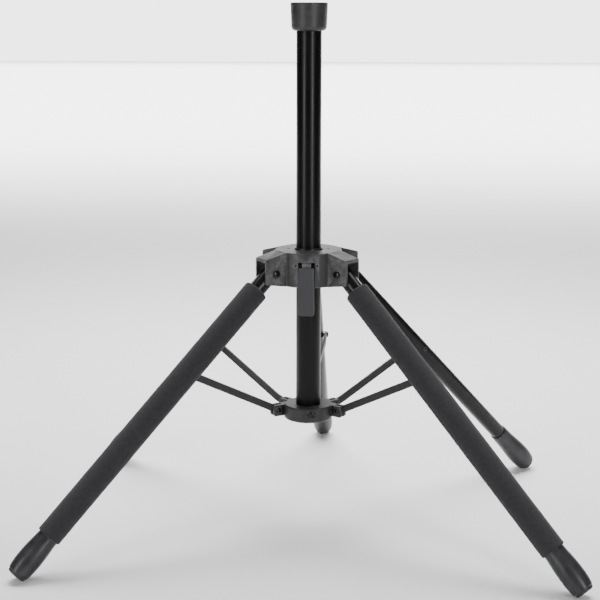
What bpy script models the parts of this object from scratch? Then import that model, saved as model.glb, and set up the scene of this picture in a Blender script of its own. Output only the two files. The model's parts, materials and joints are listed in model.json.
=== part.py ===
"""Folding five-leg stand with a rubber-capped peg: one object per piece, metres, +Z up.

The lock lever faces -Y. Each leg's frame has +X away from the column and +Y across the leg.
The footprint's centre is at the origin, and the feet rest on Z = 0.
"""

import math

import bmesh
import bpy
from mathutils import Matrix, Vector

MM = 0.001
GAP = 0.3
OVERRUN = 9.0  # how far a cutting tool runs past what it cuts
SEGMENTS = 20
ROUND_SEGMENTS = 32
SMALL_SEGMENTS = 12

# Column, cap and collar, radii and heights in millimetres
COLUMN_R = 12.7
COLUMN_WALL = 1.5
COLUMN_BOTTOM = 117.5
CAP_TOP = 541.9
CAP_BOTTOM = 514.0
CAP_TOP_R = 18.75
CAP_LOW_R = 17.8
CAP_LID = 12.0
CAP_SHOULDER = 4.6
PLUG_DEPTH = 7.0
COLLAR_R = 25.1
COLLAR_BOTTOM = 116.0
COLLAR_TOP = 130.8
COLLAR_EDGE = 1.2
LUG_HALF = 4.5
LUG_SLOT_HALF = 1.7
LUG_LOW = 118.2
LUG_HIGH = 129.8
LUG_EDGE = 1.5
LUG_ROOT_R = 12.0
LUG_REACH = 5.0
LUG_SLOT_REACH = 5.2
LUG_PIVOT_Z = 124.4
FRONT_LUG_R = 29.75
REAR_LUG_R = 33.0
RIVET_R = 1.6
RIVET_HEAD_R = 2.6
RIVET_RISE = 1.3
SCREW_TURN = 11.0
SCREW_Z = 124.7
SCREW_R = 2.2
SCREW_HEAD_R = 3.3
SCREW_SOCKET_R = 1.5

# Hub
HUB_R = 34.0
HUB_BOTTOM = 259.2
HUB_TOP = 293.8
ARM_HALF = 11.0
ARM_SLOT_HALF = 9.0
ARM_END_R = 55.0
ARM_END_BOTTOM = 262.4
ARM_END_TOP = 287.9
ARM_SLOPE_R = 32.0
ARM_SLOT_R = 29.0
ARM_ROOF = 3.0
ARM_EDGE = 1.2
ARM_ROOT_R = 20.0
HUB_EDGE = 0.8
PIVOT_R = 43.2
PIN_R = 2.5
PIN_HEAD_R = 4.0
PIN_RISE = 1.7
BUSH_R = 14.3
BUSH_RISE = 1.6
BUSH_EDGE = 0.7
LEVER_HALF = 8.0
LEVER_THICK = 2.6
LEVER_TOP = 280.0
LEVER_LOW = 231.0
LEVER_FACE_R = 36.6
LEVER_PIN_R = 30.6
LEVER_PIN_Z = 281.6
LEVER_PIN_RADIUS = 1.5
LEVER_CORNER = 2.6
LEVER_CLEAR = 0.5
LEVER_SLOT_TOP = 285.0
LEVER_SLOT_R = 24.5

# Legs: distances run along the leg's axis from the point where it meets the column's axis
LEG_TILT = math.radians(45.7)
TUBE_R = 8.6
TUBE_WALL = 1.2
TUBE_TOP = 51.4
TUBE_END = 432.0
FOOT_START = 376.5
FOOT_END = 442.6
FOOT_FLAT_R = 7.0
FOOT_ROUND = 2.4
FOAM_R = 12.6
FOAM_START = 83.0
FOAM_END = 396.0
FOAM_MOUTH_R = 10.7
LEG_PLUG_DEPTH = 8.0
FRONT_STRUT_AT = 193.5
REAR_STRUT_AT = 209.0
STRUT_HALF = 3.75
STRUT_THICK = 2.6
STRUT_CLEAR = 0.5
STRUT_STRAIGHT = 14.0
STRUT_HEAD_R = 3.4

# The end's rounded rim, seen along the leg, sets how high the leg's axis starts above the floor
APEX_Z = (
    (FOOT_END - FOOT_ROUND) * math.cos(LEG_TILT)
    + FOOT_FLAT_R * math.sin(LEG_TILT)
    + FOOT_ROUND
)
PIVOT_AT = PIVOT_R / math.sin(LEG_TILT)
PIVOT_Z = APEX_Z - PIVOT_AT * math.cos(LEG_TILT)

# Leg name: (turn from the lever's direction, side of the leg that its strut lies on, has foam)
LEGS = {
    "front_left": (-57.2, -1, True),
    "front_right": (57.2, 1, True),
    "rear_right": (128.5, 1, False),
    "rear": (180.0, -1, False),
    "rear_left": (-128.5, -1, False),
}

COLOURS = {
    "column_black": ((0.012, 0.012, 0.013), 0.28, 0.6),
    "leg_black": ((0.010, 0.010, 0.011), 0.2, 0.5),
    "hub_black": ((0.035, 0.036, 0.038), 0.5, 0.1),
    "lever_grey": ((0.06, 0.06, 0.065), 0.5, 0.0),
    "strut_black": ((0.02, 0.02, 0.021), 0.4, 0.4),
    "foam_charcoal": ((0.022, 0.022, 0.024), 0.95, 0.0),
    "foot_rubber": ((0.026, 0.026, 0.028), 0.45, 0.0),
    "cap_rubber": ((0.03, 0.03, 0.031), 0.5, 0.0),
    "screw_black": ((0.02, 0.02, 0.02), 0.25, 0.9),
    "nylon_black": ((0.02, 0.02, 0.02), 0.45, 0.0),
}


def clear_scene():
    for old in list(bpy.data.objects):
        bpy.data.objects.remove(old, do_unlink=True)


def material(slot):
    """One Principled material for each slot of finish."""
    found = bpy.data.materials.get(slot)
    if found:
        return found
    colour, roughness, metallic = COLOURS[slot]
    made = bpy.data.materials.new(slot)
    made.use_nodes = True
    shader = made.node_tree.nodes["Principled BSDF"]
    shader.inputs["Base Color"].default_value = (*colour, 1.0)
    shader.inputs["Roughness"].default_value = roughness
    shader.inputs["Metallic"].default_value = metallic
    return made


def empty(name, parent=None, place=(0, 0, 0), turn=(0, 0, 0)):
    made = bpy.data.objects.new(name, None)
    bpy.context.collection.objects.link(made)
    made.parent = parent
    made.location = Vector(place) * MM
    made.rotation_euler = turn
    return made


def mesh_object(name, verts, faces, slot=None, parent=None):
    """An object from millimetre points, with its faces turned outwards."""
    mesh = bpy.data.meshes.new(name)
    mesh.from_pydata([Vector(v) * MM for v in verts], [], faces)
    bm = bmesh.new()
    bm.from_mesh(mesh)
    bmesh.ops.recalc_face_normals(bm, faces=bm.faces)
    bm.to_mesh(mesh)
    bm.free()
    made = bpy.data.objects.new(name, mesh)
    bpy.context.collection.objects.link(made)
    made.parent = parent
    if slot:
        mesh.materials.append(material(slot))
    mesh.shade_smooth()
    mesh.set_sharp_from_angle(angle=math.radians(32))
    return made


def turned(name, profile, slot=None, parent=None, segments=SEGMENTS, matrix=None):
    """A closed profile of (radius, height) points turned round Z; radius 0 is a point on the axis."""
    verts, rings = [], []
    for radius, height in profile:
        if radius == 0:
            rings.append([len(verts)] * segments)
            verts.append((0, 0, height))
            continue
        rings.append(list(range(len(verts), len(verts) + segments)))
        for i in range(segments):
            angle = 2 * math.pi * i / segments
            verts.append((radius * math.cos(angle), radius * math.sin(angle), height))
    faces = []
    for low, high in zip(rings, rings[1:] + rings[:1]):
        for i in range(segments):
            j = (i + 1) % segments
            corners = [low[i], low[j], high[j], high[i]]
            corners = [c for n, c in enumerate(corners) if c not in corners[:n]]
            if len(corners) > 2:
                faces.append(corners)
    if matrix:
        verts = [matrix @ Vector(v) for v in verts]
    return mesh_object(name, verts, faces, slot, parent)


def prism(name, outline, low, high, across, slot=None, parent=None):
    """An outline pushed from low to high: across "X" takes (y, z) points, across "Y" takes (x, z)."""
    def corner(a, b, level):
        return (level, a, b) if across == "X" else (a, level, b)

    count = len(outline)
    verts = [corner(a, b, low) for a, b in outline] + [corner(a, b, high) for a, b in outline]
    faces = [list(range(count)), list(range(2 * count - 1, count - 1, -1))]
    for i in range(count):
        j = (i + 1) % count
        faces.append([i, count + i, count + j, j])
    return mesh_object(name, verts, faces, slot, parent)


def rod(name, radius, low, high, slot=None, parent=None, segments=SMALL_SEGMENTS, matrix=None):
    profile = [(0, low), (radius, low), (radius, high), (0, high)]
    return turned(name, profile, slot, parent, segments, matrix)


def arc(centre_r, centre_z, radius, start, end, steps):
    points = []
    for i in range(steps + 1):
        angle = math.radians(start + (end - start) * i / steps)
        points.append((centre_r + radius * math.cos(angle), centre_z + radius * math.sin(angle)))
    return points


def combine(target, tool, operation):
    """Applies a Boolean, then hides the tool from the build."""
    modifier = target.modifiers.new(operation.title(), "BOOLEAN")
    modifier.operation = operation
    modifier.solver = "EXACT"
    modifier.object = tool
    tool.hide_render = True
    tool.display_type = "WIRE"


def along_y(x, z):
    """Turns a Z-axis shape to lie along Y through (x, z)."""
    return Matrix.Translation((x, 0, z)) @ Matrix.Rotation(-math.pi / 2, 4, "X")


def build_column(axis):
    inner = COLUMN_R - COLUMN_WALL
    top = CAP_TOP - CAP_LID - GAP
    tube = [(COLUMN_R, COLUMN_BOTTOM), (COLUMN_R, top), (inner, top), (inner, COLUMN_BOTTOM)]
    turned("column_tube", tube, "column_black", axis, ROUND_SEGMENTS)

    bore = COLUMN_R + GAP
    cap = [(bore, CAP_BOTTOM)]
    cap += arc(CAP_LOW_R - CAP_SHOULDER, CAP_BOTTOM + CAP_SHOULDER, CAP_SHOULDER, -72, 0, 4)
    cap += arc(CAP_TOP_R - 1.0, CAP_TOP - 1.0, 1.0, 0, 90, 3)
    cap += [(0, CAP_TOP), (0, CAP_TOP - CAP_LID), (bore, CAP_TOP - CAP_LID)]
    turned("peg_cap", cap, "cap_rubber", axis, ROUND_SEGMENTS)

    plug_top = COLUMN_BOTTOM + PLUG_DEPTH
    rod("column_end_plug", inner - GAP, COLUMN_BOTTOM, plug_top, "nylon_black", axis, SEGMENTS)


def leg_frames(axis):
    """An empty on the column's axis for each leg, turned so that +X points along the leg's arm."""
    frames = {}
    for name, (turn, _, _) in LEGS.items():
        frames[name] = empty(f"frame_{name}", axis, turn=(0, 0, math.radians(turn - 90)))
    return frames


def side_offset(side, foam):
    """How far a strut lies to one side of its leg's axis, in the leg's frame."""
    beside = (FOAM_R if foam else TUBE_R) + STRUT_CLEAR
    return side * (beside + STRUT_THICK / 2)


def lug_place(name):
    """(radius, side offset) of a strut's collar rivet; beside the foam the lug is offset as well."""
    _, side, foam = LEGS[name]
    return (FRONT_LUG_R, side_offset(side, foam)) if foam else (REAR_LUG_R, 0.0)


def lug_frames(frames):
    """An empty for each lug, moved sideways from the leg's frame by the lug's offset."""
    return {name: empty(f"frame_lug_{name}", frame, (0, lug_place(name)[1], 0))
            for name, frame in frames.items()}


def build_collar(axis, lugs):
    bore = COLUMN_R + GAP
    ring = [
        (bore, COLLAR_BOTTOM),
        (COLLAR_R - COLLAR_EDGE, COLLAR_BOTTOM),
        (COLLAR_R, COLLAR_BOTTOM + COLLAR_EDGE),
        (COLLAR_R, COLLAR_TOP - COLLAR_EDGE),
        (COLLAR_R - COLLAR_EDGE, COLLAR_TOP),
        (bore, COLLAR_TOP),
    ]
    collar = turned("lower_collar", ring, "hub_black", axis, ROUND_SEGMENTS)
    for name, frame in lugs.items():
        combine(collar, lug_block(name, frame), "UNION")
    for name, frame in lugs.items():
        cut_lug(collar, name, frame)
    bore_low, bore_high = COLLAR_BOTTOM - OVERRUN, COLLAR_TOP + OVERRUN
    combine(collar, rod("collar_bore", bore, bore_low, bore_high, None, axis, ROUND_SEGMENTS), "DIFFERENCE")
    build_set_screw(axis, collar, bore)


def lug_block(name, frame):
    end = lug_place(name)[0] + LUG_REACH
    outline = [
        (LUG_ROOT_R, LUG_LOW),
        (end - LUG_EDGE, LUG_LOW),
        (end, LUG_LOW + LUG_EDGE),
        (end, LUG_HIGH - LUG_EDGE),
        (end - LUG_EDGE, LUG_HIGH),
        (LUG_ROOT_R, LUG_HIGH),
    ]
    return prism(f"lug_{name}", outline, -LUG_HALF, LUG_HALF, "Y", parent=frame)


def cut_lug(collar, name, frame):
    """Cuts the strut's slot and the rivet's hole in a lug."""
    pivot_r = lug_place(name)[0]
    near, far = pivot_r - LUG_SLOT_REACH, pivot_r + LUG_REACH + OVERRUN
    low, high = LUG_LOW - OVERRUN, LUG_HIGH + OVERRUN
    slot = [(near, low), (far, low), (far, high), (near, high)]
    tool = prism(f"lug_slot_{name}", slot, -LUG_SLOT_HALF, LUG_SLOT_HALF, "Y", parent=frame)
    combine(collar, tool, "DIFFERENCE")
    reach = LUG_HALF + 1.0
    hole = along_y(pivot_r, LUG_PIVOT_Z)
    tool = rod(f"lug_hole_{name}", RIVET_R + GAP, -reach, reach, parent=frame, matrix=hole)
    combine(collar, tool, "DIFFERENCE")


def build_set_screw(axis, collar, bore):
    frame = empty("frame_screw", axis, turn=(0, 0, math.radians(SCREW_TURN - 90)))
    along_x = Matrix.Translation((0, 0, SCREW_Z)) @ Matrix.Rotation(math.pi / 2, 4, "Y")
    hole = rod("screw_hole", SCREW_R + GAP, 10, COLLAR_R + OVERRUN, parent=frame, matrix=along_x)
    combine(collar, hole, "DIFFERENCE")
    seat = COLLAR_R + 0.4
    rim = seat + 0.7
    top = seat + 2.2
    screw = [(0, bore), (SCREW_R, bore), (SCREW_R, seat), (SCREW_HEAD_R, seat), (SCREW_HEAD_R, rim)]
    screw += arc(SCREW_HEAD_R - 1.5, rim, 1.5, 0, 90, 3)
    screw += [(SCREW_SOCKET_R, top), (SCREW_SOCKET_R, seat + 0.9), (0, seat + 0.9)]
    turned("collar_set_screw", screw, "screw_black", frame, SMALL_SEGMENTS, along_x)


def rivet_profile(shank, half, head, rise):
    """A rivet with a domed head at each end."""
    return [
        (0, -half - rise),
        (head * 0.6, -half - rise * 0.8),
        (head, -half),
        (shank, -half),
        (shank, half),
        (head, half),
        (head * 0.6, half + rise * 0.8),
        (0, half + rise),
    ]


def build_hub(axis, frames):
    """The moulded hub: a round body, an arm with an open slot for each leg, and the lever's slot."""
    bore = BUSH_R + GAP
    body = [
        (bore, HUB_BOTTOM),
        (HUB_R - HUB_EDGE, HUB_BOTTOM),
        (HUB_R, HUB_BOTTOM + HUB_EDGE),
        (HUB_R, HUB_TOP - HUB_EDGE),
        (HUB_R - HUB_EDGE, HUB_TOP),
        (bore, HUB_TOP),
    ]
    hub = turned("hub", body, "hub_black", axis, ROUND_SEGMENTS)
    arm = [
        (ARM_ROOT_R, HUB_BOTTOM),
        (ARM_SLOPE_R, HUB_BOTTOM),
        (ARM_END_R - ARM_EDGE, ARM_END_BOTTOM),
        (ARM_END_R, ARM_END_BOTTOM + ARM_EDGE),
        (ARM_END_R, ARM_END_TOP - ARM_EDGE),
        (ARM_END_R - ARM_EDGE, ARM_END_TOP),
        (ARM_SLOPE_R, HUB_TOP),
        (ARM_ROOT_R, HUB_TOP),
    ]
    for name, frame in frames.items():
        combine(hub, prism(f"arm_{name}", arm, -ARM_HALF, ARM_HALF, "Y", parent=frame), "UNION")
    for name, frame in frames.items():
        cut_arm(hub, name, frame)
    low, high = HUB_BOTTOM - OVERRUN, HUB_TOP + OVERRUN
    combine(hub, rod("hub_bore", bore, low, high, None, axis, ROUND_SEGMENTS), "DIFFERENCE")
    front = empty("frame_lever", axis, turn=(0, 0, -math.pi / 2))
    cut_lever_slot(hub, front)
    build_bush(axis)
    build_lever(front)


def cut_arm(hub, name, frame):
    """Cuts an arm's slot, open below and at its end, and the hole for the leg's pin."""
    roof_end = ARM_END_TOP - ARM_ROOF - 2.4
    slot = [
        (ARM_SLOT_R, HUB_BOTTOM - OVERRUN),
        (ARM_END_R + OVERRUN, HUB_BOTTOM - OVERRUN),
        (ARM_END_R + OVERRUN, roof_end),
        (ARM_SLOT_R, HUB_TOP - ARM_ROOF),
    ]
    tool = prism(f"arm_slot_{name}", slot, -ARM_SLOT_HALF, ARM_SLOT_HALF, "Y", parent=frame)
    combine(hub, tool, "DIFFERENCE")
    reach = ARM_HALF + OVERRUN
    hole = along_y(PIVOT_R, PIVOT_Z)
    tool = rod(f"arm_hole_{name}", PIN_R + GAP, -reach, reach, parent=frame, matrix=hole)
    combine(hub, tool, "DIFFERENCE")


def cut_lever_slot(hub, front):
    """Cuts the lever's slot in the hub's front and adds the pin that crosses it."""
    slot = [
        (LEVER_SLOT_R, HUB_BOTTOM - OVERRUN),
        (HUB_R + OVERRUN, HUB_BOTTOM - OVERRUN),
        (HUB_R + OVERRUN, LEVER_SLOT_TOP),
        (LEVER_SLOT_R, LEVER_SLOT_TOP),
    ]
    half = LEVER_HALF + LEVER_CLEAR
    combine(hub, prism("lever_slot", slot, -half, half, "Y", parent=front), "DIFFERENCE")
    place = along_y(LEVER_PIN_R, LEVER_PIN_Z)
    pin = half + 2.6
    hole_r = LEVER_PIN_RADIUS + GAP
    hole = rod("lever_pin_hole", hole_r, -pin - 0.4, pin + 0.4, parent=front, matrix=place)
    combine(hub, hole, "DIFFERENCE")
    rod("lever_pin", LEVER_PIN_RADIUS, -pin, pin, "screw_black", front, matrix=place)


def build_bush(axis):
    inner = COLUMN_R + GAP
    top = HUB_TOP + BUSH_RISE
    profile = [
        (inner, HUB_BOTTOM),
        (BUSH_R, HUB_BOTTOM),
        (BUSH_R, top - BUSH_EDGE),
        (BUSH_R - BUSH_EDGE, top),
        (inner, top),
    ]
    turned("hub_guide_bush", profile, "nylon_black", axis, ROUND_SEGMENTS)


def build_lever(front):
    """A flat paddle with a narrow knuckle round the pin; its frame stands on the pin's axis."""
    pivot = empty("frame_lever_pivot", front, (LEVER_PIN_R, 0, LEVER_PIN_Z))
    top = LEVER_TOP - LEVER_PIN_Z
    low = LEVER_LOW - LEVER_PIN_Z
    face = LEVER_FACE_R - LEVER_PIN_R
    half = LEVER_HALF
    outline = [(-half, top)]
    outline += arc(-half + LEVER_CORNER, low + LEVER_CORNER, LEVER_CORNER, 180, 270, 3)
    outline += arc(half - LEVER_CORNER, low + LEVER_CORNER, LEVER_CORNER, -90, 0, 3)
    outline += [(half, top)]
    lever = prism("lock_lever", outline, face - LEVER_THICK, face, "X", "lever_grey", pivot)
    web = [(-3.4, -7.5), (face - 1, -12), (face - 1, -2.4), (0, 3.2), (-3.4, 1)]
    combine(lever, prism("lever_web", web, -4.5, 4.5, "Y", parent=pivot), "UNION")
    hole = rod("lever_bore", LEVER_PIN_RADIUS + GAP, -half, half, parent=pivot, matrix=along_y(0, 0))
    combine(lever, hole, "DIFFERENCE")


def foot_profile():
    """The rubber foot along the leg: a barrel with a rounded end and a blind bore for the tube."""
    end = PIVOT_AT - FOOT_END
    bulge = [(9.7, 0.6), (10.1, 14), (10.9, 26), (12.0, 40), (12.1, 50), (10.9, 61)]
    outer = [(radius, PIVOT_AT - FOOT_START - along) for radius, along in bulge]
    rim = arc(FOOT_FLAT_R, end + FOOT_ROUND, FOOT_ROUND, 0, -90, 4)
    bore = TUBE_R + GAP
    mouth = PIVOT_AT - FOOT_START
    bottom = PIVOT_AT - TUBE_END - GAP
    return [(bore, mouth), (9.1, mouth)] + outer + rim + [(0, end), (0, bottom), (bore, bottom)]


def foam_profile():
    """The foam sleeve: rounded ends, a bore for the tube, and a wider mouth over the foot."""
    high = PIVOT_AT - FOAM_START
    low = PIVOT_AT - FOAM_END
    bore = TUBE_R + GAP
    mouth = FOAM_MOUTH_R
    shoulder = PIVOT_AT - FOOT_START + 1.0
    outer = arc(FOAM_R - 1.2, low + 1.2, 1.2, -90, 0, 2)
    outer += arc(FOAM_R - 2.2, high - 2.2, 2.2, 0, 90, 3)
    return [(mouth, low)] + outer + [(bore, high), (bore, shoulder), (mouth, shoulder)]


def strut_sections(length, shift):
    """(along, half width, across) of each section, from the collar's rivet to the leg's rivet."""
    turns = [math.radians(angle) for angle in (0, 25, 50, 75)]
    ends = [(STRUT_HALF * math.sin(turn), STRUT_HALF * math.cos(turn)) for turn in turns]
    sections = [(-along, half, 0.0) for along, half in reversed(ends)]
    sections += [(STRUT_STRAIGHT, STRUT_HALF, 0.0), (length - STRUT_STRAIGHT, STRUT_HALF, shift)]
    return sections + [(length + along, half, shift) for along, half in ends]


def build_strut(name, frame, strut_at):
    """A flat bar on the collar's rivet, beside its leg at the far end; +X in its frame runs along it."""
    _, side, foam = LEGS[name]
    pivot_r, lug_offset = lug_place(name)
    end_r = strut_at * math.sin(LEG_TILT)
    end_z = APEX_Z - strut_at * math.cos(LEG_TILT)
    run = Vector((end_r - pivot_r, end_z - LUG_PIVOT_Z))
    slope = math.atan2(run.y, run.x)
    place = (pivot_r, lug_offset, LUG_PIVOT_Z)
    pivot = empty(f"pivot_strut_{name}", frame, place, (0, -slope, 0))
    shift = side_offset(side, foam) - lug_offset
    verts = []
    for along, half, across in strut_sections(run.length, shift):
        for lift, turn in ((-half, -1), (half, -1), (half, 1), (-half, 1)):
            verts.append((along, across + turn * STRUT_THICK / 2, lift))
    faces = [[0, 1, 2, 3], [len(verts) - k for k in (1, 2, 3, 4)]]
    for start in range(0, len(verts) - 4, 4):
        for i in range(4):
            j = (i + 1) % 4
            faces.append([start + i, start + 4 + i, start + 4 + j, start + j])
    strut = mesh_object(f"strut_{name}", verts, faces, "strut_black", pivot)
    reach = STRUT_THICK
    hole = rod(f"strut_hole_{name}", RIVET_R + GAP, -reach, reach, parent=pivot, matrix=along_y(0, 0))
    combine(strut, hole, "DIFFERENCE")

    seat = side * shift + STRUT_THICK / 2 + GAP
    dome = [(0, seat), (STRUT_HEAD_R, seat), (STRUT_HEAD_R, seat + 0.6), (1.9, seat + 1.6), (0, seat + 1.9)]
    place = along_y(run.length, 0)
    if side < 0:
        place = place @ Matrix.Rotation(math.pi, 4, "X")
    turned(f"strut_rivet_head_{name}", dome, "screw_black", pivot, SMALL_SEGMENTS, place)


def build_leg(name, frame, strut_at):
    """The tube, its plug, foot, foam and rivet; their frame stands on the hub's pin, +Z up the leg."""
    _, side, foam = LEGS[name]
    pivot = empty(f"pivot_leg_{name}", frame, (PIVOT_R, 0, PIVOT_Z), (0, -LEG_TILT, 0))
    top = PIVOT_AT - TUBE_TOP
    end = PIVOT_AT - TUBE_END
    inner = TUBE_R - TUBE_WALL
    tube_profile = [(TUBE_R, end), (TUBE_R, top), (inner, top), (inner, end)]
    tube = turned(f"leg_tube_{name}", tube_profile, "leg_black", pivot)
    reach = TUBE_R + OVERRUN
    pin_hole = rod(f"pin_hole_{name}", PIN_R + GAP, -reach, reach, parent=pivot, matrix=along_y(0, 0))
    combine(tube, pin_hole, "DIFFERENCE")
    rivet_place = along_y(0, PIVOT_AT - strut_at)
    hole = rod(f"rivet_hole_{name}", RIVET_R + GAP, -reach, reach, parent=pivot, matrix=rivet_place)
    combine(tube, hole, "DIFFERENCE")

    plug_r = inner - GAP
    plug_profile = [(0, -LEG_PLUG_DEPTH), (plug_r, -LEG_PLUG_DEPTH), (plug_r, top + GAP)]
    plug_profile += [(TUBE_R - 0.2, top + GAP), (TUBE_R - 1.4, top + 2), (0, top + 2)]
    plug = turned(f"leg_top_plug_{name}", plug_profile, "nylon_black", pivot, 16)
    combine(plug, pin_hole, "DIFFERENCE")
    turned(f"rubber_foot_{name}", foot_profile(), "foot_rubber", pivot)

    if side < 0:
        rivet_place = rivet_place @ Matrix.Rotation(math.pi, 4, "X")
    rivet = leg_rivet_profile(foam)
    turned(f"leg_rivet_{name}", rivet, "screw_black", pivot, SMALL_SEGMENTS, rivet_place)
    if foam:
        sleeve = turned(f"foam_sleeve_{name}", foam_profile(), "foam_charcoal", pivot)
        outward = rod(f"foam_hole_{name}", RIVET_R + 0.6, 6, 20, parent=pivot, matrix=rivet_place)
        combine(sleeve, outward, "DIFFERENCE")


def leg_rivet_profile(foam):
    """The leg's half of the strut's rivet; a bare tube also shows its domed head."""
    if foam:
        near = 0.4 - TUBE_R
        reach = FOAM_R + GAP
        return [(0, near), (RIVET_R, near), (RIVET_R, reach), (0, reach)]
    near = -TUBE_R - 1.6
    seat = -TUBE_R - GAP
    reach = TUBE_R + GAP
    head = [(0, near), (1.6, near + 0.2), (2.4, near + 1.0), (2.4, seat), (RIVET_R, seat)]
    return head + [(RIVET_R, reach), (0, reach)]


def build_leg_set(name, frame, lug):
    foam = LEGS[name][2]
    strut_at = FRONT_STRUT_AT if foam else REAR_STRUT_AT
    pin = rivet_profile(PIN_R, ARM_HALF + GAP, PIN_HEAD_R, PIN_RISE)
    place = along_y(PIVOT_R, PIVOT_Z)
    turned(f"hub_pivot_pin_{name}", pin, "screw_black", frame, SMALL_SEGMENTS, place)
    rivet = rivet_profile(RIVET_R, LUG_HALF + GAP, RIVET_HEAD_R, RIVET_RISE)
    place = along_y(lug_place(name)[0], LUG_PIVOT_Z)
    turned(f"collar_rivet_{name}", rivet, "screw_black", lug, SMALL_SEGMENTS, place)
    build_leg(name, frame, strut_at)
    build_strut(name, frame, strut_at)


def centre_footprint(axis):
    """Moves the stand along Y until its footprint is centred on the origin."""
    bpy.context.view_layer.update()
    shapes = [o for o in bpy.data.objects if o.type == "MESH" and not o.hide_render]
    places = [(o.matrix_world @ Vector(c)).y for o in shapes for c in o.bound_box]
    axis.location.y -= (min(places) + max(places)) / 2


def main():
    clear_scene()
    axis = empty("column_axis")
    build_column(axis)
    frames = leg_frames(axis)
    lugs = lug_frames(frames)
    build_collar(axis, lugs)
    build_hub(axis, frames)
    for name, frame in frames.items():
        build_leg_set(name, frame, lugs[name])
    centre_footprint(axis)


main()
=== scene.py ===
import json
import math

import bmesh
import bpy
from mathutils import Matrix, Vector
from mathutils.noise import noise


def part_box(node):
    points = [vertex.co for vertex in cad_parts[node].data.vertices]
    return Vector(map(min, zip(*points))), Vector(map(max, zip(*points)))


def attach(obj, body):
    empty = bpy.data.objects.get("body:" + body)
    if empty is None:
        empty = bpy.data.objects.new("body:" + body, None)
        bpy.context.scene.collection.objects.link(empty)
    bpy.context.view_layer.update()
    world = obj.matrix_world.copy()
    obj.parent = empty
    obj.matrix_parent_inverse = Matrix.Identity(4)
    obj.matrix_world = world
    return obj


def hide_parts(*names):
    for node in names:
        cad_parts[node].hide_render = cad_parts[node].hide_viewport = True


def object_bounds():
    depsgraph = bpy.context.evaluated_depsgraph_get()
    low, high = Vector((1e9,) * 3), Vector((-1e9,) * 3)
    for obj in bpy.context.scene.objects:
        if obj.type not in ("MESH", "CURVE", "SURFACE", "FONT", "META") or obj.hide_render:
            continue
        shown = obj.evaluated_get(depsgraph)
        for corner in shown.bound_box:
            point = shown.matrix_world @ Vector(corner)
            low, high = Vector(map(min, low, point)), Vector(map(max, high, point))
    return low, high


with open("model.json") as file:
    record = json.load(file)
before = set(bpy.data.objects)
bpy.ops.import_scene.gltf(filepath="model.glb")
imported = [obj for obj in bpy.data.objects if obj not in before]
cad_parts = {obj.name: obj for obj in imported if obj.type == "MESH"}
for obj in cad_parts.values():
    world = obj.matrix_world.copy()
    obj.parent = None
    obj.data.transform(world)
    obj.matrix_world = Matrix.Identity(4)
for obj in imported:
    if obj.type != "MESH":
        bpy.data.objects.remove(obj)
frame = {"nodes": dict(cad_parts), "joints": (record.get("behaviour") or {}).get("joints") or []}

CAD_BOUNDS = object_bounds()
NODES = frame["nodes"]
JOINTS = {joint["name"]: joint for joint in frame["joints"]}
LEGS = [name[len("leg_fold_"):] for name in JOINTS if name.startswith("leg_fold_")]
MM = 0.001

# Radius of the rivets' shanks, at both ends of a strut
SHANK_R = 1.6 * MM

# The camera: how it stands to the column's axis, in metres and degrees
CAMERA_DISTANCE = 1.3547
CAMERA_ASIDE = -0.0088
CAMERA_HEIGHT = 0.5239
CAMERA_TURN = 3.91
CAMERA_PITCH = -9.21
CAMERA_ROLL = 0.09
CAMERA_LENS = 80.6
CAMERA_SHIFT_Y = -0.1024

# The studio: how bright its dim side and its back wall are, and its floor's half-size in metres
WORLD_DIM = 0.008
WORLD_BRIGHT = 3.8
FLOOR_HALF = 16.0

# An angle in degrees: the cast parts' edges are rounded where they turn by more than this
CAST_EDGE = 28


# ---------------------------------------------------------------- frames taken from the CAD


def middle(node):
    low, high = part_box(node)
    return (low + high) / 2


def axes(origin, across, up):
    """A frame at origin: +Y across, +Z as near to up as it goes, as a matrix from its own space."""
    y = Vector(across).normalized()
    z = Vector(up)
    z = (z - y * z.dot(y)).normalized()
    x = y.cross(z)
    made = Matrix((x, y, z)).transposed().to_4x4()
    made.translation = Vector(origin)
    return made


def column_frame():
    place = middle("column_tube")
    return Matrix.Translation((place.x, place.y, 0))


def leg_frame(leg):
    """At the hub's pivot pin: +Z runs up the leg's axis and +Y along the pin."""
    joint = JOINTS[f"leg_fold_{leg}"]
    pivot = Vector(joint["pos_m"])
    return axes(pivot, joint["axis"], pivot - middle(f"leg_tube_{leg}"))


def strut_frame(leg):
    """At the collar's rivet: +X runs along the bar to the leg's rivet and +Y along the rivets."""
    joint = JOINTS[f"strut_fold_{leg}"]
    pivot = Vector(joint["pos_m"])
    across = Vector(joint["axis"])
    reach = middle(f"strut_rivet_head_{leg}") - pivot
    along = (reach - across * reach.dot(across)).normalized()
    return axes(pivot, across, along.cross(across))


def extent(node, place):
    """A node's lowest and highest corner, and its largest radius round Z, in a frame's own space."""
    back = place.inverted()
    points = [back @ v.co for v in NODES[node].data.vertices]
    low = Vector(min(p[i] for p in points) for i in range(3))
    high = Vector(max(p[i] for p in points) for i in range(3))
    return low, high, max(math.hypot(p.x, p.y) for p in points)


# ---------------------------------------------------------------- shapes


def mesh_piece(name, verts, faces, place=None):
    mesh = bpy.data.meshes.new(name)
    mesh.from_pydata(verts, [], faces)
    bm = bmesh.new()
    bm.from_mesh(mesh)
    bmesh.ops.recalc_face_normals(bm, faces=bm.faces)
    bm.to_mesh(mesh)
    bm.free()
    if place:
        mesh.transform(place)
    piece = bpy.data.objects.new(name, mesh)
    bpy.context.scene.collection.objects.link(piece)
    return piece


def smooth(piece, angle=30):
    piece.data.shade_smooth()
    piece.data.set_sharp_from_angle(angle=math.radians(angle))
    return piece


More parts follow.
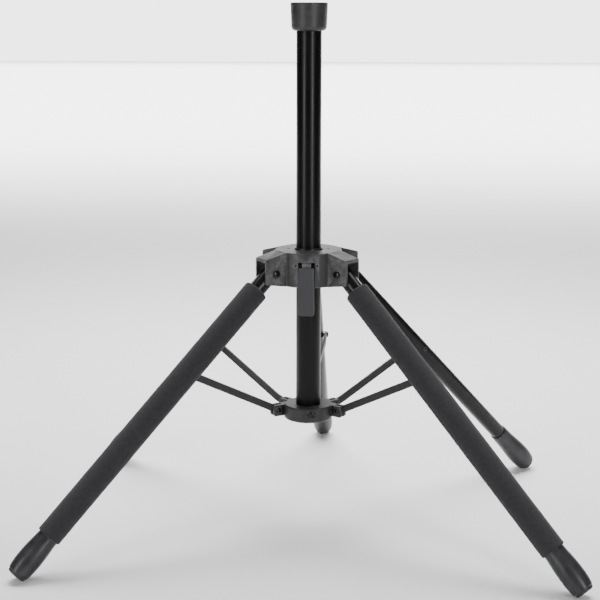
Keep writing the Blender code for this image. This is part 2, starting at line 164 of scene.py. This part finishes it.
def turned(name, profile, place=None, segments=72):
    """A closed (radius, height) profile turned round Z; a radius of 0 is a point on the axis."""
    verts, rings = [], []
    for radius, height in profile:
        if radius == 0:
            rings.append([len(verts)] * segments)
            verts.append((0, 0, height))
            continue
        rings.append(list(range(len(verts), len(verts) + segments)))
        for i in range(segments):
            angle = 2 * math.pi * i / segments
            verts.append((radius * math.cos(angle), radius * math.sin(angle), height))
    faces = []
    for low, high in zip(rings, rings[1:] + rings[:1]):
        for i in range(segments):
            j = (i + 1) % segments
            corners = [low[i], low[j], high[j], high[i]]
            corners = [c for n, c in enumerate(corners) if c not in corners[:n]]
            if len(corners) > 2:
                faces.append(corners)
    return smooth(mesh_piece(name, verts, faces, place))


def arc(centre_r, centre_z, radius, start, end, steps):
    """Points of an arc, from one angle in degrees to another."""
    angles = [math.radians(start + (end - start) * i / steps) for i in range(steps + 1)]
    return [(centre_r + radius * math.cos(a), centre_z + radius * math.sin(a)) for a in angles]


def low_edge(radius, height, edge, steps, start=-90):
    """Points that round off the lower outer corner of a profile."""
    return arc(radius - edge, height + edge, edge, start, 0, steps)


def high_edge(radius, height, edge, steps, start=0):
    """Points that round off the upper outer corner of a profile."""
    return arc(radius - edge, height - edge, edge, start, 90, steps)


def smoothed(points, steps):
    """A Catmull-Rom curve through (radius, height) points."""
    made = []
    ends = [points[0]] + list(points) + [points[-1]]
    for a, b, c, d in zip(ends, ends[1:], ends[2:], ends[3:]):
        for i in range(steps):
            t = i / steps
            made.append(tuple(
                0.5 * (2 * q + (r - p) * t + (2 * p - 5 * q + 4 * r - s) * t * t
                       + (3 * q - p - 3 * r + s) * t ** 3)
                for p, q, r, s in zip(a, b, c, d)))
    return made + [points[-1]]


def tube(name, outer, inner, low, high, place, segments=72):
    edge = 0.35 * MM
    profile = [(inner, low)] + low_edge(outer, low, edge, 3)
    profile += high_edge(outer, high, edge, 3) + [(inner, high)]
    return turned(name, profile, place, segments)


def prism(name, near, far):
    """A closed solid between two outlines that have the same number of points."""
    count = len(near)
    faces = [list(range(count)), list(range(2 * count - 1, count - 1, -1))]
    faces += [[i, count + i, count + (i + 1) % count, (i + 1) % count] for i in range(count)]
    return mesh_piece(name, near + far, faces)


def cut(piece, tool, operation="DIFFERENCE"):
    """Applies a Boolean at once and removes its tool."""
    modifier = piece.modifiers.new("cut", "BOOLEAN")
    modifier.object = tool
    modifier.operation = operation
    modifier.solver = "EXACT"
    apply_modifiers(piece)
    bpy.data.objects.remove(tool, do_unlink=True)
    return piece


def apply_modifiers(piece):
    graph = bpy.context.evaluated_depsgraph_get()
    mesh = bpy.data.meshes.new_from_object(piece.evaluated_get(graph))
    piece.modifiers.clear()
    piece.data = mesh


def bevelled(piece, width, segments, angle):
    bevel = piece.modifiers.new("round", "BEVEL")
    bevel.width = width
    bevel.segments = segments
    bevel.limit_method = "ANGLE"
    bevel.angle_limit = math.radians(angle)
    apply_modifiers(piece)
    return piece


def softened(name, node, width):
    """A new piece with a CAD node's shape, its edges rounded over."""
    mesh = NODES[node].data.copy()
    mesh.materials.clear()
    piece = bpy.data.objects.new(name, mesh)
    bpy.context.scene.collection.objects.link(piece)
    bm = bmesh.new()
    bm.from_mesh(mesh)
    bmesh.ops.remove_doubles(bm, verts=bm.verts, dist=0.00001)
    bmesh.ops.dissolve_limit(bm, angle_limit=math.radians(1.5), verts=bm.verts, edges=bm.edges)
    bm.to_mesh(mesh)
    bm.free()
    return even_shading(smooth(bevelled(piece, width, 3, CAST_EDGE), CAST_EDGE))


def even_shading(piece):
    """Weights the normals by face size, so that flat faces look flat between rounded edges."""
    weighted = piece.modifiers.new("weighted", "WEIGHTED_NORMAL")
    weighted.keep_sharp = True
    weighted.weight = 90
    apply_modifiers(piece)
    return piece


def place_along_y(x, z, flip=False):
    """Turns a Z-axis shape to lie along Y through (x, z); flip points it along -Y."""
    turn = math.pi / 2 if flip else -math.pi / 2
    return Matrix.Translation((x, 0, z)) @ Matrix.Rotation(turn, 4, "X")


# ---------------------------------------------------------------- materials


class Surface:
    """A Principled material whose nodes are added by short calls; scales are per metre."""

    def __init__(self, name, colour, roughness, metallic=0.0, **fixed):
        self.made = bpy.data.materials.new(name)
        self.made.use_nodes = True
        self.nodes = self.made.node_tree.nodes
        self.links = self.made.node_tree.links
        self.shader = self.nodes["Principled BSDF"]
        self.shader.inputs["Base Color"].default_value = (*colour, 1)
        self.shader.inputs["Roughness"].default_value = roughness
        self.shader.inputs["Metallic"].default_value = metallic
        for socket, value in fixed.items():
            self.shader.inputs[socket.replace("_", " ")].default_value = value
        self.place = self.nodes.new("ShaderNodeTexCoord").outputs["Object"]
        self.normal = None

    def noise(self, scale, detail=3.0, roughness=0.5, stretch=(1, 1, 1)):
        mapping = self.nodes.new("ShaderNodeMapping")
        mapping.inputs["Scale"].default_value = stretch
        self.links.new(self.place, mapping.inputs["Vector"])
        made = self.nodes.new("ShaderNodeTexNoise")
        made.inputs["Scale"].default_value = scale
        made.inputs["Detail"].default_value = detail
        made.inputs["Roughness"].default_value = roughness
        self.links.new(mapping.outputs["Vector"], made.inputs["Vector"])
        return made.outputs["Fac"]

    def cells(self, scale):
        made = self.nodes.new("ShaderNodeTexVoronoi")
        made.inputs["Scale"].default_value = scale
        self.links.new(self.place, made.inputs["Vector"])
        return made.outputs["Distance"]

    def between(self, value, low, high, from_low=0.3, from_high=0.7):
        made = self.nodes.new("ShaderNodeMapRange")
        made.inputs["From Min"].default_value = from_low
        made.inputs["From Max"].default_value = from_high
        made.inputs["To Min"].default_value = low
        made.inputs["To Max"].default_value = high
        self.links.new(value, made.inputs["Value"])
        return made.outputs["Result"]

    def product(self, first, second):
        made = self.nodes.new("ShaderNodeMath")
        made.operation = "MULTIPLY"
        self.links.new(first, made.inputs[0])
        self.links.new(second, made.inputs[1])
        return made.outputs["Value"]

    def roughness_from(self, value):
        self.links.new(value, self.shader.inputs["Roughness"])

    def colour_from(self, value, low, high, start=0.3, end=0.7):
        ramp = self.nodes.new("ShaderNodeValToRGB")
        ramp.color_ramp.elements[0].position = start
        ramp.color_ramp.elements[0].color = (*low, 1)
        ramp.color_ramp.elements[1].position = end
        ramp.color_ramp.elements[1].color = (*high, 1)
        self.links.new(value, ramp.inputs["Fac"])
        self.links.new(ramp.outputs["Color"], self.shader.inputs["Base Color"])

    def bump(self, value, strength, depth):
        made = self.nodes.new("ShaderNodeBump")
        made.inputs["Strength"].default_value = strength
        made.inputs["Distance"].default_value = depth
        self.links.new(value, made.inputs["Height"])
        if self.normal:
            self.links.new(self.normal, made.inputs["Normal"])
        self.normal = made.outputs["Normal"]
        self.links.new(self.normal, self.shader.inputs["Normal"])


def lacquer(name, colour, roughness):
    """Black lacquer over steel tube: faint orange peel, and hazy patches from handling."""
    made = Surface(name, colour, roughness, Specular_IOR_Level=0.16)
    haze = made.noise(24, 4, 0.6, (1, 1, 0.35))
    made.roughness_from(made.between(haze, roughness - 0.03, roughness + 0.05))
    light = tuple(c * 1.4 + 0.001 for c in colour)
    made.colour_from(haze, colour, light, 0.35, 0.75)
    made.bump(made.noise(700, 2, 0.4), 0.04, 0.00004)
    made.bump(made.noise(5200, 2, 0.5), 0.04, 0.00002)
    return made.made


def powder_coat(name, colour, roughness):
    """Satin paint with a fine grain over a cast part; its edges are painted lighter in patches, partly
    as wear and partly as a painted highlight.
    """
    made = Surface(name, colour, roughness, Specular_IOR_Level=0.28)
    grain = made.noise(2600, 3, 0.6)
    made.roughness_from(made.between(made.noise(60, 4, 0.6), roughness - 0.03, roughness + 0.04))
    # Convex edges are painted lighter in patches: partly wear, partly a painted edge highlight.
    wear_and_highlight = made.nodes.new("ShaderNodeNewGeometry").outputs["Pointiness"]
    edge = made.between(wear_and_highlight, 0.0, 1.0, 0.53, 0.62)
    patch = made.between(made.noise(170, 4, 0.65), 0.35, 1.0, 0.42, 0.66)
    light = tuple(c * 2.6 + 0.04 for c in colour)
    made.colour_from(made.product(edge, patch), colour, light, 0.0, 1.0)
    made.bump(grain, 0.25, 0.00005)
    made.bump(made.noise(420, 3, 0.5), 0.05, 0.00006)
    return made.made


def foam(name, colour):
    """Closed-cell foam: open pores cut at the skin, mottled colour and a soft dusty sheen."""
    made = Surface(name, colour, 0.93,
                   Specular_IOR_Level=0.2, Sheen_Weight=0.10, Sheen_Roughness=0.55)
    mottle = made.noise(300, 5, 0.7)
    light = tuple(c * 1.35 for c in colour)
    made.colour_from(mottle, colour, light, 0.32, 0.70)
    pores = made.between(made.cells(2100), 0.0, 1.0, 0.05, 0.55)
    made.bump(made.noise(650, 4, 0.65), 0.35, 0.00030)
    made.bump(pores, 0.55, 0.00022)
    made.roughness_from(made.between(made.noise(800, 3, 0.5), 0.86, 0.98))
    return made.made


def rubber(name, colour, roughness):
    """Moulded rubber with a satin bloom and the fine tooth of the mould."""
    made = Surface(name, colour, roughness, Specular_IOR_Level=0.24)
    bloom = made.noise(90, 4, 0.6)
    light = tuple(c * 1.4 + 0.003 for c in colour)
    made.colour_from(bloom, colour, light, 0.35, 0.72)
    made.roughness_from(made.between(bloom, roughness - 0.05, roughness + 0.07))
    made.bump(made.noise(3400, 2, 0.6), 0.22, 0.00005)
    return made.made


def blackened_steel(name, colour, roughness):
    """Oil-blacked steel of screws and rivets, with fine scratches and rubbed high spots."""
    made = Surface(name, colour, roughness, 0.85)
    scratch = made.noise(1500, 4, 0.7, (1, 1, 0.12))
    light = tuple(c * 2.2 + 0.01 for c in colour)
    made.colour_from(scratch, colour, light, 0.42, 0.80)
    made.roughness_from(made.between(scratch, roughness - 0.08, roughness + 0.12))
    made.bump(scratch, 0.12, 0.00004)
    return made.made


MATERIALS = {
    "column_black": lacquer("column_lacquer", (0.0030, 0.0029, 0.0027), 0.30),
    "leg_black": lacquer("leg_lacquer", (0.0070, 0.0070, 0.0070), 0.22),
    "hub_black": powder_coat("hub_paint", (0.020, 0.020, 0.0205), 0.44),
    "strut_black": powder_coat("strut_paint", (0.017, 0.017, 0.0165), 0.42),
    "lever_grey": powder_coat("lever_paint", (0.038, 0.038, 0.042), 0.46),
    "foam_charcoal": foam("foam_charcoal", (0.0185, 0.018, 0.0205)),
    "foot_rubber": rubber("foot_rubber", (0.021, 0.021, 0.023), 0.33),
    "cap_rubber": rubber("cap_rubber", (0.028, 0.028, 0.0275), 0.44),
    "screw_black": blackened_steel("blackened_steel", (0.016, 0.016, 0.017), 0.22),
    "nylon_black": rubber("nylon", (0.012, 0.012, 0.012), 0.34),
}


def dress(piece, slot, body, node):
    """Gives a new piece its material and its body, and hides the CAD node that it stands for."""
    piece.data.materials.clear()
    piece.data.materials.append(MATERIALS[slot])
    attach(piece, body)
    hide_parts(node)


# ---------------------------------------------------------------- the stand's pieces


def make_column(place):
    low, high, radius = extent("column_tube", place)
    wall = 1.5 * MM
    shown = tube("column_tube_shown", radius, radius - wall, low.z, high.z, place, segments=96)
    dress(shown, "column_black", "column", "column_tube")

    low, high, radius = extent("peg_cap", place)
    bore = extent("column_tube", place)[2] + 0.25 * MM
    waist = radius - 0.95 * MM
    lid = high.z - 0.25 * MM
    ceiling = high.z - 11.9 * MM
    profile = [(bore, low.z + 0.4 * MM), (bore + 0.5 * MM, low.z)]
    profile += low_edge(waist, low.z, 4.6 * MM, 12, -66)
    profile += high_edge(radius, high.z, 1.1 * MM, 6)
    profile += [(radius - 3 * MM, high.z), (radius - 3.3 * MM, lid)]
    profile += [(0, lid), (0, ceiling), (bore, ceiling)]
    dress(turned("peg_cap_shown", profile, place, 96), "cap_rubber", "column", "peg_cap")

    low, high, radius = extent("column_end_plug", place)
    rim = 0.8 * MM
    profile = [(0, low.z + rim), (radius * 0.55, low.z + rim), (radius * 0.62, low.z)]
    profile += low_edge(radius, low.z, rim, 4) + [(radius, high.z), (0, high.z)]
    plug = turned("column_end_plug_shown", profile, place, 64)
    dress(plug, "nylon_black", "column", "column_end_plug")


def make_hub(place):
    hub = softened("hub_shown", "hub", 0.85 * MM)
    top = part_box("hub")[1].z
    recess = [(0, -1.6 * MM), (1.3 * MM, -1.6 * MM), (2.1 * MM, MM), (0, MM)]
    recess_place = Matrix.Translation((20.5 * MM, 0, top))
    for turn in (-92, 92):
        spot = place @ Matrix.Rotation(math.radians(turn - 90), 4, "Z") @ recess_place
        cut(hub, turned("recess_tool", recess, spot, 24))
    dress(even_shading(smooth(hub, CAST_EDGE)), "hub_black", "hub", "hub")

    low, high, radius = extent("hub_guide_bush", place)
    inner = extent("column_tube", place)[2] + 0.15 * MM
    edge = 0.6 * MM
    profile = [(inner, low.z), (radius, low.z)] + high_edge(radius, high.z, edge, 5)
    profile += [(inner + edge, high.z), (inner, high.z - edge)]
    bush = turned("hub_guide_bush_shown", profile, place, 96)
    dress(bush, "nylon_black", "hub", "hub_guide_bush")

    make_lever()
    pin = axes(middle("lever_pin"), (0, 1, 0), (1, 0, 0))
    low, high, radius = extent("lever_pin", pin)
    edge = 0.3 * MM
    profile = [(0, low.z)] + low_edge(radius, low.z, edge, 3)
    profile += high_edge(radius, high.z, edge, 3) + [(0, high.z)]
    dress(turned("lever_pin_shown", profile, pin, 32), "screw_black", "hub", "lever_pin")


def rounded_plate(name, half, low, high, low_corner, high_corner, front, back):
    """A plate in the XZ plane with rounded corners and edges, from front to back along Y."""
    outline = arc(half - high_corner, high - high_corner, high_corner, 0, 90, 5)
    outline += arc(high_corner - half, high - high_corner, high_corner, 90, 180, 5)
    outline += arc(low_corner - half, low + low_corner, low_corner, 180, 270, 7)
    outline += arc(half - low_corner, low + low_corner, low_corner, 270, 360, 7)
    plate = prism(name, [(x, front, z) for x, z in outline], [(x, back, z) for x, z in outline])
    return bevelled(plate, 0.75 * MM, 4, 50)


def make_lever():
    """The finger lever: a rounded paddle, and behind it a web up to the knuckle round its pin."""
    pin = Vector(JOINTS["lever_swing"]["pos_m"])
    low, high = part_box("lock_lever")
    half = (high.x - low.x) / 2
    paddle_top = pin.z - 1.6 * MM
    paddle_back = low.y + 2.6 * MM
    lever = rounded_plate("lock_lever_shown", half, low.z, paddle_top, 2.6 * MM, 1.7 * MM,
                          low.y, paddle_back)
    knuckle_r = high.z - pin.z
    knuckle = 4.5 * MM
    bore_r = 1.8 * MM
    web_front = paddle_back - 0.4 * MM
    web_top = pin.z - bore_r - 0.5 * MM
    web = [(web_front, pin.z - 13 * MM), (web_front, pin.z - 2.2 * MM), (pin.y - 0.4 * MM, web_top),
           (pin.y + 2.6 * MM, web_top), (pin.y + 2.9 * MM, pin.z - 6.5 * MM)]
    sides = [[(x, y, z) for y, z in web] for x in (-knuckle, knuckle)]
    cut(lever, prism("web_tool", *sides), "UNION")
    ring = [(bore_r, -knuckle), (knuckle_r, -knuckle), (knuckle_r, knuckle), (bore_r, knuckle)]
    across = axes(pin, (0, 1, 0), (1, 0, 0))
    cut(lever, turned("knuckle_tool", ring, across, 40), "UNION")
    dress(even_shading(smooth(lever, 30)), "lever_grey", "lever", "lock_lever")


def make_collar():
    collar = softened("lower_collar_shown", "lower_collar", 0.45 * MM)
    dress(collar, "hub_black", "column", "lower_collar")
    centre = middle("collar_set_screw")
    outward = Vector(centre - middle("column_tube"))
    outward.z = 0
    place = axes(centre, outward.cross(Vector((0, 0, 1))), outward)
    low, high, radius = extent("collar_set_screw", place)
    head = high.z - 2.2 * MM
    shank = 2.1 * MM
    profile = [(0, low.z), (shank, low.z), (shank, head), (radius, head), (radius, head + 0.8 * MM)]
    profile += high_edge(radius, high.z, 1.4 * MM, 7, 5) + [(0, high.z)]
    screw = turned("collar_set_screw_shown", profile, place, 40)
    socketed(screw, place, high.z, 1.55 * MM, 1.3 * MM)
    dress(screw, "screw_black", "column", "collar_set_screw")


def socketed(piece, place, top, radius, depth):
    """Sinks a hexagon socket into a screw's head."""
    socket = [(0, top - depth), (radius, top - depth), (radius, top + MM), (0, top + MM)]
    smooth(cut(piece, turned("socket_tool", socket, place, 6)), 35)


def domed_pin(name, radius, shank_half, head_r, rise, place):
    """A rivet or pivot pin: a plain shank and a domed head at each end."""
    steps = 6
    upper = [(radius, shank_half), (head_r * 0.97, shank_half)]
    for i in range(steps):
        angle = math.pi / 2 * i / steps
        height = shank_half + 0.25 * rise + 0.75 * rise * math.sin(angle)
        upper.append((head_r * math.cos(angle), height))
    upper.append((0, shank_half + rise))
    lower = [(r, -z) for r, z in reversed(upper)]
    return turned(name, lower + upper, place, 40)


def make_pins(leg):
    """The leg's pivot pin through the hub, and its strut's rivet through the collar's lug."""
    outward, pin_line = leg_frame(leg).to_3x3().col[:2]
    node = f"hub_pivot_pin_{leg}"
    place = axes(middle(node), outward, pin_line)
    _, high, radius = extent(node, place)
    rise = 1.7 * MM
    pin = domed_pin(node + "_shown", 2.5 * MM, high.z - rise, radius, rise, place)
    for end in (place, place @ Matrix.Rotation(math.pi, 4, "X")):
        socketed(pin, end, high.z, 1.5 * MM, 1.2 * MM)
    dress(pin, "screw_black", "hub", node)

    node = f"collar_rivet_{leg}"
    place = axes(middle(node), outward, pin_line)
    _, high, radius = extent(node, place)
    rise = 1.3 * MM
    rivet = domed_pin(node + "_shown", SHANK_R, high.z - rise, radius, rise, place)
    dress(rivet, "screw_black", "column", node)


def make_strut(leg):
    body = f"strut_{leg}"
    dress(softened(body + "_shown", body, 0.4 * MM), "strut_black", body, body)

    node = f"strut_rivet_head_{leg}"
    place = strut_frame(leg)
    low, high, _ = extent(node, place)
    seat, top = sorted((abs(low.y), abs(high.y)))
    rise = top - seat
    head_r = (high.z - low.z) / 2
    profile = [(0, seat), (head_r, seat), (head_r, seat + 0.25 * rise)]
    profile += [(head_r * math.cos(a), seat + 0.25 * rise + 0.75 * rise * math.sin(a))
                for a in (0.26, 0.52, 0.79, 1.05, 1.31)]
    profile += [(0, top)]
    centre = place @ place_along_y((low.x + high.x) / 2, (low.z + high.z) / 2, low.y <= 0)
    dress(turned(node + "_shown", profile, centre, 40), "screw_black", body, node)


def drilled(piece, place):
    """Cuts the pivot pin's hole through a piece of a leg."""
    bore, reach = 2.8 * MM, 12 * MM
    hole = [(0, -reach), (bore, -reach), (bore, reach), (0, reach)]
    return smooth(cut(piece, turned("pin_tool", hole, place @ place_along_y(0, 0), 32)))


def make_leg(leg):
    body = f"leg_{leg}"
    place = leg_frame(leg)
    node = f"leg_tube_{leg}"
    low, high, radius = extent(node, place)
    wall = 1.2 * MM
    shown = tube(node + "_shown", radius, radius - wall, low.z, high.z, place)
    dress(drilled(shown, place), "leg_black", body, node)

    node = f"leg_top_plug_{leg}"
    low, high, _ = extent(node, place)
    inner = radius - wall - 0.2 * MM
    crown = radius - 0.3 * MM
    step = high.z - 1.7 * MM
    profile = [(0, low.z), (inner, low.z), (inner, step), (crown, step)]
    profile += high_edge(crown, high.z, 1.4 * MM, 5) + [(0, high.z)]
    plug = turned(node + "_shown", profile, place, 56)
    dress(drilled(plug, place), "nylon_black", body, node)

    make_foot(leg, place, radius)
    make_leg_rivet(leg, place, radius)
    if f"foam_sleeve_{leg}" in NODES:
        make_foam(leg, place, radius)


def make_foot(leg, place, tube_r):
    """A barrel of rubber with a thin rolled lip at its mouth and a rounded tread."""
    node = f"rubber_foot_{leg}"
    low, high, widest = extent(node, place)
    length = high.z - low.z
    mouth = 0.795
    shares = [(mouth, 0.010), (0.815, 0.10), (0.845, 0.24), (0.895, 0.38), (0.955, 0.50),
              (0.992, 0.63), (0.990, 0.76), (0.940, 0.87), (0.865, 0.945)]
    barrel = smoothed([(widest * r, high.z - length * s) for r, s in shares], 5)
    roll = 2.4 * MM
    tread = arc(widest * 0.585, low.z + roll, roll, 10, -90, 8)
    bore = tube_r + 0.15 * MM
    lip = [(bore, high.z - 0.5 * MM), (bore + 0.35 * MM, high.z), (widest * mouth - 0.4 * MM, high.z)]
    deep = high.z - 55.8 * MM
    sole = low.z + 0.35 * MM
    profile = lip + barrel + tread
    profile += [(widest * 0.42, low.z), (widest * 0.40, sole), (0, sole), (0, deep), (bore, deep)]
    dress(turned(node + "_shown", profile, place, 80), "foot_rubber", f"leg_{leg}", node)


def make_leg_rivet(leg, place, tube_r):
    """The strut's rivet: its far end is on the strut's side, and a bare leg has a head on the other."""
    node = f"leg_rivet_{leg}"
    low, high, _ = extent(node, place)
    bare = f"foam_sleeve_{leg}" not in NODES
    flip = (high.y > -low.y) == bare
    near, far = (high.y, -low.y) if flip else (-low.y, high.y)
    profile = [(0, -near)]
    if bare:
        head_r = 2.4 * MM
        seat = tube_r - 0.05 * MM
        profile += [(head_r * s, -near + (near - seat) * (1 - math.sqrt(1 - s * s)))
                    for s in (0.35, 0.6, 0.8, 0.92, 1.0)]
        profile += [(head_r, -seat), (SHANK_R, -seat)]
    else:
        profile += [(SHANK_R, -near)]
    profile += [(SHANK_R, far), (0, far)]
    centre = place @ place_along_y(0, (low.z + high.z) / 2, flip)
    dress(turned(node + "_shown", profile, centre, 36), "screw_black", f"leg_{leg}", node)


def make_foam(leg, place, tube_r):
    """A foam sleeve: softly rounded ends and a faintly uneven skin."""
    node = f"foam_sleeve_{leg}"
    low, high, radius = extent(node, place)
    bore = tube_r + 0.2 * MM
    mouth = 10.7 * MM
    foot_top = extent(f"rubber_foot_{leg}", place)[1].z + 1.0 * MM
    rows = 150
    low_round = 1.3 * MM
    high_round = 2.6 * MM
    straight = high.z - low.z - low_round - high_round
    outer = low_edge(radius, low.z, low_round, 6)[:-1]
    outer += [(radius, low.z + low_round + straight * i / rows) for i in range(rows + 1)]
    outer += high_edge(radius, high.z, high_round, 8)[1:]
    profile = [(mouth, low.z + 1.0 * MM)] + outer
    profile += [(bore, high.z - 0.6 * MM), (bore, foot_top), (mouth, foot_top)]
    sleeve = turned(node + "_shown", profile, None, 96)
    for vertex in sleeve.data.vertices:
        spread = math.hypot(vertex.co.x, vertex.co.y)
        if spread > mouth + 0.5 * MM:
            wave = noise(vertex.co * 55) * 0.10 * MM + noise(vertex.co * 240) * 0.05 * MM
            vertex.co.xy *= 1 + (wave - 0.12 * MM) / spread
    sleeve.data.transform(place)
    dress(sleeve, "foam_charcoal", f"leg_{leg}", node)


# ---------------------------------------------------------------- floor, lights and camera


def make_floor():
    far = FLOOR_HALF
    corners = [(-far, -far, 0), (far, -far, 0), (far, far, 0), (-far, far, 0)]
    floor = mesh_piece("floor", corners, [(0, 1, 2, 3)])
    made = bpy.data.materials.new("floor_paper")
    made.use_nodes = True
    shader = made.node_tree.nodes["Principled BSDF"]
    shader.inputs["Base Color"].default_value = (0.93, 0.93, 0.93, 1)
    shader.inputs["Roughness"].default_value = 0.9
    floor.data.materials.append(made)


def area_light(name, place, target, width, height, power, spread=180):
    """A rectangular light aimed at a point: sizes in metres, power in watts, spread in degrees."""
    data = bpy.data.lights.new(name, "AREA")
    data.spread = math.radians(spread)
    data.shape = "RECTANGLE"
    data.size = width
    data.size_y = height
    data.energy = power
    light = bpy.data.objects.new(name, data)
    bpy.context.scene.collection.objects.link(light)
    light.location = place
    light.rotation_euler = (Vector(target) - Vector(place)).to_track_quat("-Z", "Y").to_euler()


def make_world():
    """A dim studio with a bright back wall, which lights the tops and the outlines of parts."""
    world = bpy.data.worlds.new("studio")
    bpy.context.scene.world = world
    world.use_nodes = True
    nodes, links = world.node_tree.nodes, world.node_tree.links
    direction = nodes.new("ShaderNodeTexCoord").outputs["Generated"]
    apart = nodes.new("ShaderNodeSeparateXYZ")
    links.new(direction, apart.inputs["Vector"])
    glow = nodes.new("ShaderNodeMath")
    glow.operation = "MULTIPLY"
    for socket, (axis, start, end) in zip(glow.inputs, (("Y", 0.70, 0.95), ("Z", 0.50, 0.28))):
        ramp = nodes.new("ShaderNodeMapRange")
        ramp.inputs["From Min"].default_value = start
        ramp.inputs["From Max"].default_value = end
        links.new(apart.outputs[axis], ramp.inputs["Value"])
        links.new(ramp.outputs["Result"], socket)
    strength = nodes.new("ShaderNodeMapRange")
    strength.inputs["To Min"].default_value = WORLD_DIM
    strength.inputs["To Max"].default_value = WORLD_BRIGHT
    links.new(glow.outputs["Value"], strength.inputs["Value"])
    nodes["Background"].inputs["Color"].default_value = (1, 1, 1, 1)
    links.new(strength.outputs["Result"], nodes["Background"].inputs["Strength"])


def make_lights(centre):
    make_world()
    area_light("left_softbox", (-1.46, -1.79, 0.62), centre, 0.40, 1.5, 30)
    area_light("right_softbox", (1.31, -1.91, 0.70), centre, 0.30, 1.5, 34)
    area_light("top_softbox", (0.0, 0.55, 1.7), (0, 0.50, 0), 1.8, 1.1, 28, 95)
    area_light("sweep_light", (0.0, 9.2, 3.0), (0, 9.2, 0), 14.0, 13.0, 3300, 95)


def make_camera(place):
    data = bpy.data.cameras.new("camera")
    data.sensor_width = 36
    data.lens = CAMERA_LENS
    data.shift_y = CAMERA_SHIFT_Y
    data.clip_start = 0.05
    data.clip_end = 60
    camera = bpy.data.objects.new("camera", data)
    bpy.context.scene.collection.objects.link(camera)
    turn = Matrix.Rotation(math.radians(CAMERA_TURN), 4, "Z")
    stand = place @ turn @ Matrix.Translation((CAMERA_ASIDE, -CAMERA_DISTANCE, CAMERA_HEIGHT))
    tilt = Matrix.Rotation(math.radians(90 + CAMERA_PITCH), 4, "X")
    roll = Matrix.Rotation(math.radians(CAMERA_ROLL), 4, "Z")
    camera.matrix_world = stand @ tilt @ roll
    bpy.context.scene.camera = camera


def main():
    place = column_frame()
    make_floor()
    make_lights((CAD_BOUNDS[0] + CAD_BOUNDS[1]) / 2)
    make_camera(place)
    make_column(place)
    make_hub(place)
    make_collar()
    for leg in LEGS:
        make_pins(leg)
        make_strut(leg)
        make_leg(leg)


main()
